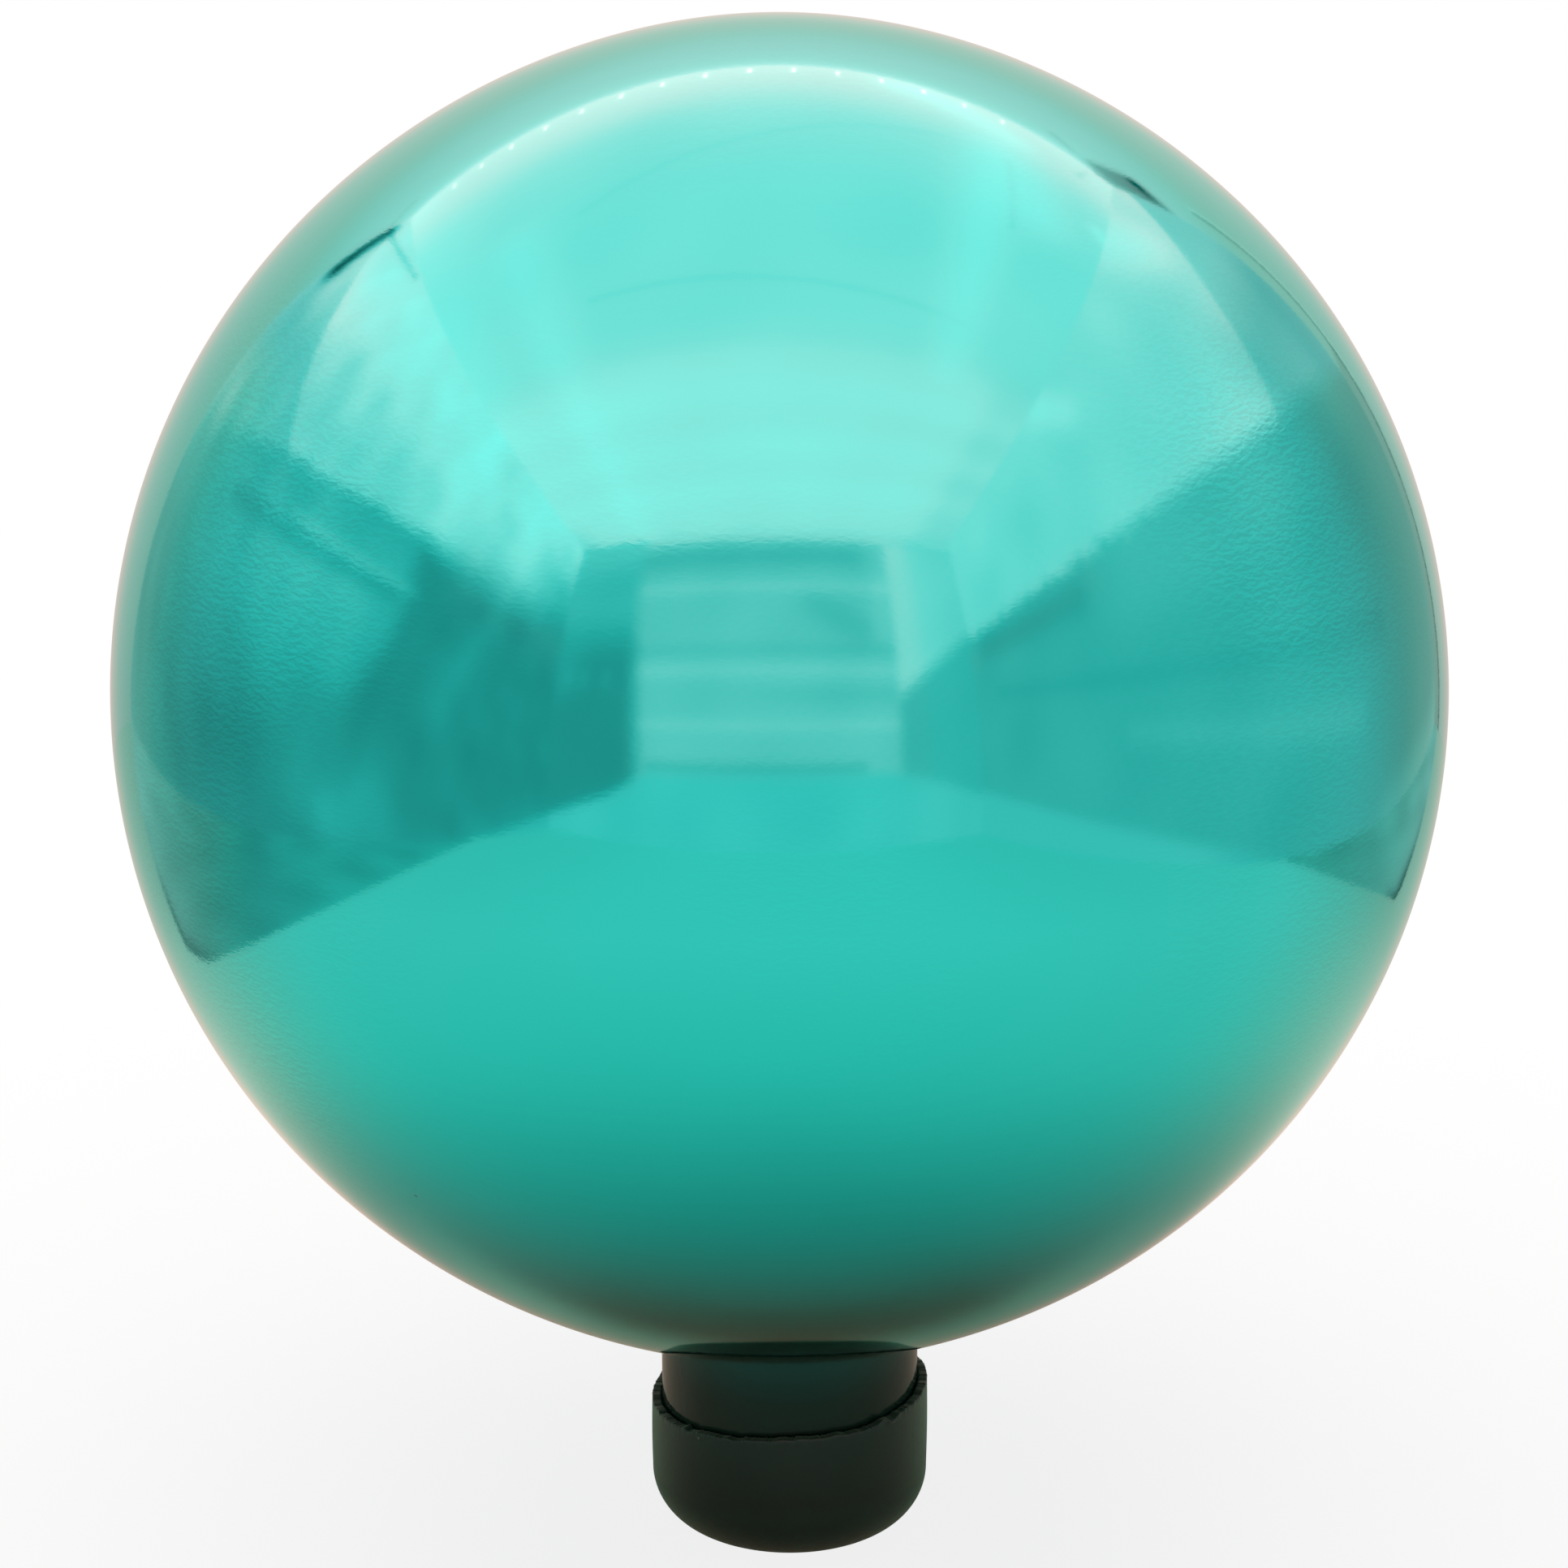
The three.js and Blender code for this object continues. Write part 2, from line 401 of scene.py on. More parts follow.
def globe_profile():
    """The globe's wall as one line, from the outside of the crown round the lip to the inside of the crown,
    with heights from the ball's widest place."""
    outer = (BALL_RADIUS, BALL_HALF_HEIGHT)
    inner = (BALL_RADIUS - BALL_WALL, BALL_HALF_HEIGHT - BALL_WALL)
    bore = NECK_RADIUS - NECK_WALL
    inner_crease = CREASE_RADIUS + NECK_WALL
    outer_angle, outer_centre, outer_arc = crease_between(outer, NECK_RADIUS, CREASE_RADIUS)
    inner_angle, inner_centre, inner_arc = crease_between(inner, bore, inner_crease)
    lip = NECK_WALL / 2
    lip_centre = (NECK_RADIUS - lip, LIP_HEIGHT + lip + NECK_DRAW - BALL_CENTRE)
    outside = np.concatenate([
        arc((0.0, 0.0), outer, QUARTER, outer_angle, BALL_POINTS),
        arc(outer_centre, (CREASE_RADIUS,) * 2, outer_arc, math.pi, CREASE_POINTS)[1:],
        np.linspace((NECK_RADIUS, outer_centre[1]), (NECK_RADIUS, lip_centre[1]), NECK_POINTS)[1:-1],
        arc(lip_centre, (lip, lip), 0.0, -QUARTER, LIP_POINTS),
    ])
    inside = np.concatenate([
        arc(lip_centre, (lip, lip), -QUARTER, -math.pi, LIP_POINTS)[1:],
        np.linspace((bore, lip_centre[1]), (bore, inner_centre[1]), BORE_POINTS)[1:-1],
        arc(inner_centre, (inner_crease,) * 2, math.pi, inner_arc, BORE_POINTS),
        arc((0.0, 0.0), inner, inner_angle, QUARTER, INSIDE_POINTS)[1:],
    ])
    return np.concatenate([outside, inside])


def lacquer_peel(points, x, z):
    """How deep the lacquer's ripples are, from 0 to 1: the product of a share for the flanks and one for
    wandering patches, neither of which falls to nothing."""
    flank = soft_step(np.abs(x) / BALL_RADIUS, FLANK_START, FLANK_END)
    flank = flank * fall(np.abs(z), FLANK_FADE_START, FLANK_FADE_END)
    patches = space_waves(points, PEEL_PATCH, PATCH_SINES, seed=5).reshape(x.shape)
    patches = soft_step(patches, PATCH_EDGE, PATCH_FULL)
    return between(PEEL_OFF_FLANKS, 1.0, flank) * between(PEEL_OFF_PATCHES, 1.0, patches)


def silvered(radius, z):
    """How much silvering is behind the glass, from 0 to 1: full on the ball, thin by the neck and gone a
    little way down the neck."""
    root_height = BALL_CENTRE - NECK_ROOT_DEPTH - NECK_DRAW
    outward = soft_step(radius, NECK_RADIUS + SILVER_START, NECK_RADIUS + SILVER_FULL)
    upward = soft_step(z, root_height, BALL_CENTRE)
    on_ball = between(SILVER_ON_NECK, 1.0, np.maximum(outward, upward))
    on_neck = SILVER_ON_NECK * soft_step(z, root_height - SILVER_END, root_height)
    return np.where(z < root_height, on_neck, on_ball)


def make_globe():
    """The turned profile, then drawn: the crown up by CROWN_DRAW e^-(r/reach)^2, the belly down by NECK_DRAW
    e^-(r - neck)/reach times the square of its depth's share, and the root leaned to the neck's side. The
    whole wall also sinks a little towards the ball's middle: GLASS_WAVE times log(1 + e^-wave), which is
    never outward. Its points carry the silvering and the peel of the lacquer."""
    x, y, z, _ = turned_grid(globe_profile(), GLOBE_STEPS)
    radius = np.hypot(x, y)
    depth = np.clip(-z / BALL_HALF_HEIGHT, 0.0, 1.0)
    outside_neck = np.maximum(radius - NECK_RADIUS, 0.0)
    rise = CROWN_DRAW * np.exp(-((radius / CROWN_REACH) ** 2)) * soft_step(z, 0.0, CROWN_FADE)
    drop = NECK_DRAW * np.exp(-outside_neck / NECK_REACH) * depth ** 2
    lean = 1.0 - soft_step(z, -NECK_ROOT_DEPTH, LEAN_HEIGHT - NECK_ROOT_DEPTH)
    points = np.stack([x.ravel(), y.ravel(), z.ravel()], axis=1)
    waves = space_waves(points, GLASS_WAVE_LENGTH, WAVE_SINES, seed=3).reshape(x.shape)
    uneven = soft_step(z, -NECK_ROOT_DEPTH, GLASS_WAVE_START - NECK_ROOT_DEPTH)
    swell = -np.log(1.0 + np.exp(-waves)) * GLASS_WAVE / BALL_RADIUS * uneven
    peel = lacquer_peel(points, x, z)
    x = x * (1.0 + swell) + NECK_SHIFT * lean
    y = y * (1.0 + swell)
    z = z * (1.0 + swell) + rise - drop + BALL_CENTRE
    values = {"silvering": silvered(radius, z), "peel": peel}
    return closed_turning("mirror_globe", x, y, z, values)


def cap_profile():
    """The cap's wall as one line, from the inside of its floor over the mouth to the middle of its underside.
    With it comes each point's share of the way from the inside corner's top to the mouth."""
    outer_corner = (CAP_RADIUS - CAP_CORNER_RADIUS, CAP_CORNER_RADIUS)
    inner_corner = (CAP_BORE_RADIUS - CAP_INNER_CORNER, CAP_BASE + CAP_INNER_CORNER)
    edge_height = CAP_HEIGHT - MOUTH_EASING
    inner_edge = (CAP_BORE_RADIUS + MOUTH_EASING, edge_height)
    outer_edge = (CAP_RADIUS - MOUTH_EASING, edge_height)
    bore = ((CAP_BORE_RADIUS, inner_corner[1]), (CAP_BORE_RADIUS, edge_height))
    side_wall = ((CAP_RADIUS, edge_height), (CAP_RADIUS, outer_corner[1]))
    line = np.concatenate([
        np.linspace((0.0, CAP_BASE), (inner_corner[0], CAP_BASE), CAP_FLOOR_POINTS)[:-1],
        arc(inner_corner, (CAP_INNER_CORNER,) * 2, -QUARTER, 0.0, CAP_INNER_CORNER_POINTS),
        np.linspace(*bore, CAP_BORE_POINTS)[1:-1],
        arc(inner_edge, (MOUTH_EASING,) * 2, math.pi, QUARTER, CAP_EDGE_POINTS),
        arc(outer_edge, (MOUTH_EASING,) * 2, QUARTER, 0.0, CAP_EDGE_POINTS),
        np.linspace(*side_wall, CAP_SIDE_POINTS)[1:-1],
        arc(outer_corner, (CAP_CORNER_RADIUS,) * 2, 0.0, -QUARTER, CAP_CORNER_POINTS),
        np.linspace((outer_corner[0], 0.0), (0.0, 0.0), CAP_UNDERSIDE_POINTS)[1:],
    ])
    share = np.clip((line[:, 1] - inner_corner[1]) / (CAP_HEIGHT - inner_corner[1]), 0.0, 1.0)
    return line, share


def make_cap():
    """The turned profile, then cut and pressed. The mouth rises by the tilt's cosine, three waves and the
    knife's wander, shared out down the straight wall. Nicks push its edges in and out, the sliver hangs from
    the outer edge and the burr stands up on the inner one, and the whole wall bulges a little where the neck
    fills it."""
    profile, share = cap_profile()
    x, y, z, angle = turned_grid(profile, CAP_STEPS)
    share = share[:, None] + 0.0 * x
    mouth = soft_step(share, MOUTH_START, 1.0)
    wall_share = np.clip((np.hypot(x, y) - CAP_BORE_RADIUS) / CAP_WALL, 0.0, 1.0)
    knife = ring_waves(angle[:1], WANDER_COUNTS, seed=8) * CUT_WANDER
    nicks = ring_waves(angle[:1], NICK_COUNTS, seed=9) * CUT_NICKS
    slip = near_angle(angle, SLIVER_ANGLE, SLIVER_WIDTH)
    slip = slip - NOTCH_SHARE * near_angle(angle, SLIVER_ANGLE - NOTCH_TURN, NOTCH_WIDTH)
    sliver = SLIVER_SIZE * slip * wall_share
    burr = BURR_SIZE * near_angle(angle, BURR_ANGLE, BURR_WIDTH) * (1.0 - wall_share)
    rise = MOUTH_TILT * np.cos(angle) + MOUTH_WAVE * np.sin(MOUTH_WAVE_COUNT * angle + MOUTH_WAVE_START)
    bulge = CAP_BULGE * np.sin(math.pi * share) * wall_share
    torn = mouth * (nicks * (2.0 * wall_share - 1.0) + SLIVER_LEAN * sliver - BURR_LEAN * burr)
    pressed = 1.0 + (bulge + torn) / CAP_RADIUS
    x = x * pressed + NECK_SHIFT
    y = y * pressed
    z = z + rise * share + mouth * (knife + nicks - sliver + burr)
    values = {"cut_face": soft_step(share, CUT_FACE_START, 1.0)}
    return closed_turning("dipped_cap", x, y, z, values)


def new_material(name):
    """A material whose nodes are cleared but for its output, with the node tree and the output."""
    material = bpy.data.materials.new(name)
    material.use_nodes = True
    tree = material.node_tree
    tree.nodes.clear()
    output = tree.nodes.new("ShaderNodeOutputMaterial")
    return material, tree, output


def add(tree, kind, **settings):
    """A new node, with its own settings and, where a name is a socket's, that socket's value or the socket
    that feeds it."""
    node = tree.nodes.new(kind)
    for key, value in settings.items():
        if hasattr(node, key):
            setattr(node, key, value)
        elif isinstance(value, bpy.types.NodeSocket):
            tree.links.new(value, node.inputs[key.replace("_", " ")])
        else:
            node.inputs[key.replace("_", " ")].default_value = value
    return node


def ease(tree, value, start, end, low=0.0, high=1.0):
    """A smooth step of a socket's value: low up to start and high from end on."""
    step = add(tree, "ShaderNodeMapRange", interpolation_type="SMOOTHSTEP", Value=value, From_Min=start,
               From_Max=end, To_Min=low, To_Max=high)
    return step.outputs["Result"]


def spread(tree, value, low, high):
    """A socket's value of 0 to 1 spread over the numbers from low to high."""
    return add(tree, "ShaderNodeMapRange", Value=value, To_Min=low, To_Max=high).outputs["Result"]


def worked_out(tree, operation, first, second):
    """The result of a sum such as MULTIPLY on two values. Each is a socket or a number."""
    node = add(tree, "ShaderNodeMath", operation=operation)
    for socket, value in zip(node.inputs, (first, second)):
        if isinstance(value, float):
            socket.default_value = value
        else:
            tree.links.new(value, socket)
    return node.outputs["Value"]


def product(tree, first, second):
    """The product of two sockets' values."""
    return worked_out(tree, "MULTIPLY", first, second)


def blend(tree, share, first, second):
    """The first colour where the share is 0 and the second where it is 1: sockets, or three numbers."""
    node = add(tree, "ShaderNodeMix", data_type="RGBA", Factor=share)
    for name, colour in (("A", first), ("B", second)):
        if isinstance(colour, tuple):
            node.inputs[name].default_value = (*colour, 1.0)
        else:
            tree.links.new(colour, node.inputs[name])
    return node.outputs["Result"]


def tinted(tree, colour, tint):
    """A socket's colour times three numbers."""
    node = add(tree, "ShaderNodeVectorMath", operation="MULTIPLY", Vector=colour)
    node.inputs[1].default_value = tint
    return node.outputs["Vector"]


def scaled(tree, colour, amount):
    """A socket's colour times another socket's value."""
    return add(tree, "ShaderNodeVectorMath", operation="SCALE", Vector=colour, Scale=amount).outputs["Vector"]


def noise(tree, vector, **settings):
    """The value of a noise texture at a vector."""
    return add(tree, "ShaderNodeTexNoise", Vector=vector, **settings).outputs["Fac"]


def attribute(tree, name):
    """The value that each point of a mesh carries under a name."""
    return add(tree, "ShaderNodeAttribute", attribute_name=name).outputs["Fac"]


def specks(tree, place, scale, radius, rarity):
    """1 on small dots and 0 elsewhere. Cells of 1 m over the scale each hold one dot, whose radius is a share
    of the cell, and the rarity is the share of cells that stay clean."""
    cells = add(tree, "ShaderNodeTexVoronoi", Vector=place, Scale=scale)
    near = worked_out(tree, "LESS_THAN", cells.outputs["Distance"], radius)
    chosen = worked_out(tree, "GREATER_THAN", cells.outputs["Color"], rarity)
    return product(tree, near, chosen)


def ripple_height(tree, place, above):
    """The height of the sagged lacquer's ripples, which lie across, taken a little above the shaded point."""
    stretched = add(tree, "ShaderNodeMapping", Vector=place, Location=(0.0, 0.0, above * RIPPLE_STRETCH),
                    Scale=(1.0, 1.0, RIPPLE_STRETCH))
    return noise(tree, stretched.outputs["Vector"], Scale=1.0 / RIPPLE_LENGTH, Detail=1.0, Distortion=0.5)


def cloudy_teal_with_painted_ripple_shade(tree, place, ripple, peel):
    """The lacquer's colour, a little cloudy, with shade painted on its ripples: lighter on their upper slopes
    and darker on their lower ones, as if lit from above, by as much as the peel says."""
    cloud = noise(tree, place, Scale=9.0, Detail=3.0, Roughness=0.55)
    teal = blend(tree, cloud, LACQUER_DEEP, LACQUER_PALE)
    slope = worked_out(tree, "SUBTRACT", ripple, ripple_height(tree, place, RIPPLE_STEP))
    # Painted shade: the ripples' upper slopes lighter and their lower slopes darker, as if lit from above.
    painted_ripple_shade = ease(tree, slope, -0.16, 0.16, -0.11, 0.11)
    painted_ripple_shade_factor = worked_out(tree, "ADD", 1.0, product(tree, painted_ripple_shade, peel))
    return scaled(tree, teal, painted_ripple_shade_factor)


def mirror_lacquer():
    """Silver under clear teal lacquer: a metal whose colour is the lacquer's, and bare dark glass round the
    neck where the silvering thins out, both under a glossy clear coat. The ripples of the lacquer are a fine
    bump and a faint painted shade in its colour, lighter on their upper slopes and darker on their lower
    ones, and its specks are colour alone."""
    material, tree, output = new_material("teal_lacquer_on_silvered_glass")
    place = add(tree, "ShaderNodeTexCoord").outputs["Object"]
    silvering = attribute(tree, "silvering")
    peel = attribute(tree, "peel")
    ripple = ripple_height(tree, place, 0.0)
    finish = blend(tree, silvering, BARE_GLASS, cloudy_teal_with_painted_ripple_shade(tree, place, ripple, peel))
    flecked = blend(tree, specks(tree, place, 48.0, 0.018, 0.72), finish, FLECK)
    depth = spread(tree, peel, 0.000003, 0.000012)
    normal = add(tree, "ShaderNodeBump", Strength=1.0, Distance=depth, Height=ripple).outputs["Normal"]
    metallic = ease(tree, silvering, 0.0, 0.2)
    shader = add(tree, "ShaderNodeBsdfPrincipled", Base_Color=flecked, Metallic=metallic, Roughness=0.085,
                 Specular_IOR_Level=0.0, Specular_Tint=(0.1, 0.95, 0.9, 1.0), Normal=normal,
                 Coat_Weight=1.0, Coat_Roughness=0.05, Coat_IOR=1.42, Coat_Normal=normal)
    tree.links.new(shader.outputs["BSDF"], output.inputs["Surface"])
    return material


def dipped_rubber():
    """Black rubber with a faint green cast and a soft sheen: finely grained, patchy in its gloss, with light
    painted on it paler towards its foot, with sparse specks of dust on it, and duller on the cut face, which
    is paler partly in its own tone and partly by painted light."""
    material, tree, output = new_material("dipped_black_rubber")
    place = add(tree, "ShaderNodeTexCoord").outputs["Object"]
    height = add(tree, "ShaderNodeSeparateXYZ", Vector=place).outputs["Z"]
    cut = attribute(tree, "cut_face")
    grain = noise(tree, place, Scale=900.0, Detail=4.0, Roughness=0.6)
    patches = noise(tree, place, Scale=60.0, Detail=3.0, Roughness=0.6)
    skin = blend(tree, patches, RUBBER_DEEP, RUBBER_PALE)
    # Painted light: the rubber paler towards its foot, standing in for light thrown up from the floor.
    skin_with_painted_foot_light = blend(tree, ease(tree, height, 0.015, 0.001), skin, RUBBER_FOOT_PAINTED_LIGHT)
    # The cut face is paler partly in its own tone and partly by painted light, for the light that the ball
    # keeps off it.
    faced = blend(tree, cut, skin_with_painted_foot_light, RUBBER_CUT_FACE_WITH_PAINTED_LIGHT)
    dusty = blend(tree, specks(tree, place, 190.0, 0.055, 0.80), faced, DUST)
    dullness = spread(tree, worked_out(tree, "ADD", patches, cut), 0.38, 0.54)
    normal = add(tree, "ShaderNodeBump", Strength=0.35, Distance=0.00008, Height=grain).outputs["Normal"]
    shader = add(tree, "ShaderNodeBsdfPrincipled", Base_Color=dusty, Roughness=dullness, Normal=normal,
                 Specular_IOR_Level=0.4, Sheen_Weight=1.0, Sheen_Roughness=0.4,
                 Sheen_Tint=(0.80, 1.0, 0.72, 1.0))
    tree.links.new(shader.outputs["BSDF"], output.inputs["Surface"])
    return material


def side(a, b, line, blur):
    """The share of being on the left of a line from its start to its end: 0 to 1 across a blur on both
    sides of it."""
    start, end = line
    along = np.subtract(end, start) / math.hypot(end[0] - start[0], end[1] - start[1])
    return soft_step(along[0] * (b - start[1]) - along[1] * (a - start[0]), -blur, blur)


def streak(a, b, line, width):
    """A soft line from its start to its end: e to the minus square of the distance from it over the width."""
    start, end = line
    along = np.subtract(end, start)
    share = np.clip(((a - start[0]) * along[0] + (b - start[1]) * along[1]) / (along @ along), 0.0, 1.0)
    away = np.hypot(a - start[0] - share * along[0], b - start[1] - share * along[1])
    return np.exp(-((away / width) ** 2))


def marked(level, a, b, marks):
    """The level with each of the marks added to it."""
    for strength, width, start, end in marks.values():
        level = level + strength * streak(a, b, (start, end), width)
    return level


def cloth_waves(a, b, length, seed):
    """Slack in the cloth: wandering waves over its two coordinates."""
    points = np.stack([np.ravel(a), np.ravel(b), np.zeros(np.size(a))], axis=1)
    return space_waves(points, length, WAVE_SINES, seed).reshape(np.shape(a))


def crumpled(a, b, seed):
    """Cloth as it hangs: broad slack and fine crumples, as a factor near 1."""
    return 1.0 + 0.022 * cloth_waves(a, b, 0.22, seed) + 0.014 * cloth_waves(a, b, 0.018, seed + 40)


def cloth_light(level, warmth=1.0, coolness=1.0):
    """The light of cloth at each level, which is its green. Bright cloth is warm: its red is a gain times the
    level to a power, at least a share of the level, and limited. Warmth multiplies red, coolness blue."""
    level = np.maximum(level, 0.0)
    red = np.clip(RED_GAIN * level ** RED_POWER, RED_LEAST_SHARE * level, RED_MOST)
    return np.stack([red * warmth, level, BLUE_SHARE * level * coolness], axis=-1)


def lamp_glare(z):
    """The lamps' glare on the back cloth: 1 at its top, and e times less for each GLARE_REACH down."""
    return np.exp((z - TENT_TOP) / GLARE_REACH)


def cream_light(level, z):
    """The light of the back cloth, which is unbleached: its red is 1.2 times its green at the floor and 3
    times at the lamps, and its blue is a tenth less than its green at the floor and even with it above."""
    red = 1.2 + 0.2 * soft_step(z, 0.30, 0.55) + 0.6 * soft_step(z, 0.58, 0.82) + 1.0 * lamp_glare(z)
    blue = 0.90 + 0.10 * soft_step(z, 0.50, 0.75) + 0.06 * lamp_glare(z)
    return np.stack([level * red, level, level * blue], axis=-1)


def left_edge(y, z):
    """The height of the shade's edge on the left cloth, which droops towards the back and wavers."""
    behind = np.maximum(y + 0.35, 0.0)
    ahead = np.maximum(-0.5 - y, 0.0)
    droop = 0.12 * behind + 0.10 * behind ** 2 - 0.12 * ahead
    return SHADE_HEIGHT - droop + 0.004 * cloth_waves(y, z, 0.06, seed=21)


def left_bright(y, z):
    """The level of the left cloth above the shade: brighter upwards, dimmer towards both corners and on the
    flap behind, with an upright fold."""
    level = 1.08 + 0.39 * soft_step(z, 0.50, 0.82)
    level = level - 0.10 * soft_step(y, 0.2, 0.5) * fall(z, 0.58, 0.68)
    level = level - 0.50 * fall(y, -0.93, -0.62) * fall(z, 0.66, 0.95)
    level = level - 0.10 * bell(y, -0.52, 0.07) + 0.10 * bell(y, -0.36, 0.06)
    flap = (1.0 - side(y, z, LEFT_FLAP_EDGE, 0.008)) * soft_step(y, 0.08, 0.12)
    return level - 0.20 * flap


def left_shade(y, z):
    """The level of the left cloth in the shade: paler in front and behind a hanging fold, where it has a pale
    belly and a dark foot."""
    fold = -0.36 + 0.09 * bell(z, 0.20, 0.10) - 0.08 * fall(z, 0.0, 0.12)
    behind_fold = soft_step(y - fold, -0.02, 0.05)
    belly = bell(y, -0.12, 0.26) * bell(z, 0.33, 0.14)
    dark_foot = streak(y, z, ((0.02, 0.12), (0.20, 0.06)), 0.09)
    lit_foot = streak(y, z, ((-0.28, 0.0), (-0.16, 0.08)), 0.06)
    paler = 0.18 * soft_step(z, 0.12, 0.42) + 0.18 * belly + 0.02 * soft_step(y, 0.3, 0.6)
    level = 0.46 + 0.08 * fall(z, 0.0, 0.14) * fall(y, -0.4, -0.2)
    level = level + behind_fold * (paler - 0.08 * (dark_foot - lit_foot))
    level = level + 0.07 * fall(y, -0.85, -0.70) * soft_step(z, 0.40, 0.55)
    return marked(level, y, z, LEFT_SHADE_MARKS)


def left_cloth(y, z):
    """The light of the left cloth: bright above the shade's edge and dim under it, with a gap in the back
    corner and its front foot laid on the floor. The shade is warm behind, and its edge is warm in front."""
    edge = left_edge(y, z)
    blur = 0.018 + 0.06 * fall(y, -0.55, -0.28) + 0.03 * soft_step(y, 0.1, 0.5)
    level = between(left_shade(y, z), left_bright(y, z), soft_step(z, edge - blur, edge + blur))
    level = level * (1.0 + 0.03 * cloth_waves(y, z, 0.09, seed=23)) * crumpled(y, z, seed=22)
    level = marked(level, y, z, LEFT_GAP_MARKS)
    shaded = fall(z, 0.45, 0.55)
    warmth = 1.0 + 0.30 * shaded * soft_step(y, 0.3, 0.5)
    warmth = warmth + 0.50 * bell(z, 0.53, 0.07) * fall(y, -0.5, -0.4)
    warmth = warmth - 0.25 * soft_step(y, 0.2, 0.4) * soft_step(z, 0.65, 0.80)
    coolness = 1.0 - 0.10 * shaded * soft_step(y, 0.1, 0.45)
    laid = side(y, z, LEFT_LAID_EDGE, 0.014) * fall(y, -0.66, -0.60)
    return cloth_light(between(level, 0.80, laid), between(warmth, 0.78, laid), coolness)


def right_edge(y, z):
    """The height of the shade's edge on the right cloth, drooping behind and wrinkled in front."""
    behind = y + 0.9
    wrinkle = 0.006 * cloth_waves(y, z, 0.05, seed=31) + 0.004 * cloth_waves(y, z, 0.021, seed=33)
    return SHADE_HEIGHT - 0.02 * behind - 0.07 * behind ** 2 + wrinkle * fall(y, -0.4, -0.1)


def right_bright(y, z):
    """The level of the right cloth above the shade: behind, a bright place at the top, a dim one under it and
    a dimmer hanging flap."""
    level = 1.17 + 0.07 * soft_step(z, 0.65, 0.88) + 0.22 * bell(y, 0.32, 0.13) * soft_step(z, 0.65, 0.8)
    level = level - 0.26 * soft_step(y, 0.10, 0.25) * fall(z, 0.50, 0.66)
    flap = side(y, z, RIGHT_FLAP_FRONT, 0.008) * side(y, z, RIGHT_FLAP_TOP, 0.008)
    level = level - (0.16 + 0.12 * soft_step(y, 0.3, 0.55)) * flap
    return marked(level, y, z, RIGHT_BRIGHT_MARKS)


def right_shade(y, z):
    """The level of the right cloth in the shade: paler high up, darker at its foot and towards the back."""
    level = 0.71 + 0.10 * soft_step(y, -0.50, -0.30) * soft_step(z, 0.30, 0.42)
    level = level - 0.26 * soft_step(y, -0.05, 0.3)
    level = level - 0.06 * bell(y, -0.05, 0.14) * fall(z, 0.04, 0.16)
    return marked(level, y, z, RIGHT_SHADE_MARKS)


def right_cloth(y, z):
    """The light of the right cloth: bright above the shade's edge and dim under it, with its front foot laid
    on the floor. The shade is warm, creamy behind, and warmest at its edge."""
    edge = right_edge(y, z)
    lit = soft_step(z, edge - 0.024, edge + 0.024)
    level = between(right_shade(y, z), right_bright(y, z), lit) * crumpled(y, z, seed=32)
    level = level + 0.12 * fall(z, 0.0, 0.06) * soft_step(y, 0.15, 0.25)
    cream = soft_step(y, 0.1, 0.45)
    shaded = fall(z, 0.46, 0.56) * (1.0 - lit * soft_step(y, 0.0, 0.2))
    warmth = 1.0 + shaded * (0.25 + 0.15 * fall(y, -0.7, -0.3) + 0.35 * cream)
    warmth = warmth + 0.55 * bell(z, 0.48, 0.05) * fall(y, -0.45, -0.35)
    warmth = warmth + 0.50 * lit * soft_step(y, 0.10, 0.30) * fall(z, 0.54, 0.66)
    coolness = 1.0 - 0.10 * cream * shaded
    laid = side(y, z, RIGHT_LAID_EDGE, 0.016) * fall(y, -0.14, -0.04)
    laid_level = 0.87 - 0.11 * soft_step(y, -0.27, -0.12)
    return cloth_light(between(level, laid_level, laid), between(warmth, 0.90, laid), coolness)


def curtain_level(x, z):
    """The level of the front curtain: pale cross folds with shades between, a dark band and a bright top."""
    folds = bell(z, 0.69, 0.022) + bell(z, 0.45, 0.022) + 0.8 * bell(z, 0.31, 0.018)
    shades = bell(z, 0.505, 0.02) + bell(z, 0.385, 0.025) * soft_step(x, -0.2, 0.1)
    band = bell(z, 0.795, 0.045) * fall(x, 0.20, 0.30)
    level = 0.94 + 0.10 * folds - 0.06 * shades - 0.16 * band + 0.25 * soft_step(z, 0.835, 0.865)
    return marked(level, x, z, CURTAIN_MARKS)


def corner_level(x, z):
    """The level of the shade in the front's left corner: paler upwards, with three short upright folds."""
    level = 0.47 + 0.32 * soft_step(z, 0.46, 0.66) + 0.15 * soft_step(z, 0.72, 0.86)
    level = level + 0.10 * fall(x, -0.63, -0.50) * bell(z, 0.46, 0.09)
    for place in CORNER_FOLDS:
        level = level + 0.07 * streak(x, z, ((place, 0.42), (place, 0.44)), 0.02)
    return level


def front_foot(x):
    """The height where the front cloth turns on to the floor: lower towards both sides."""
    left = 0.58 * np.maximum(-0.33 - x, 0.0) - 0.20 * np.maximum(-0.45 - x, 0.0)
    right = 0.5 * np.maximum(x - 0.25, 0.0) ** 1.5
    return 0.19 - left - right


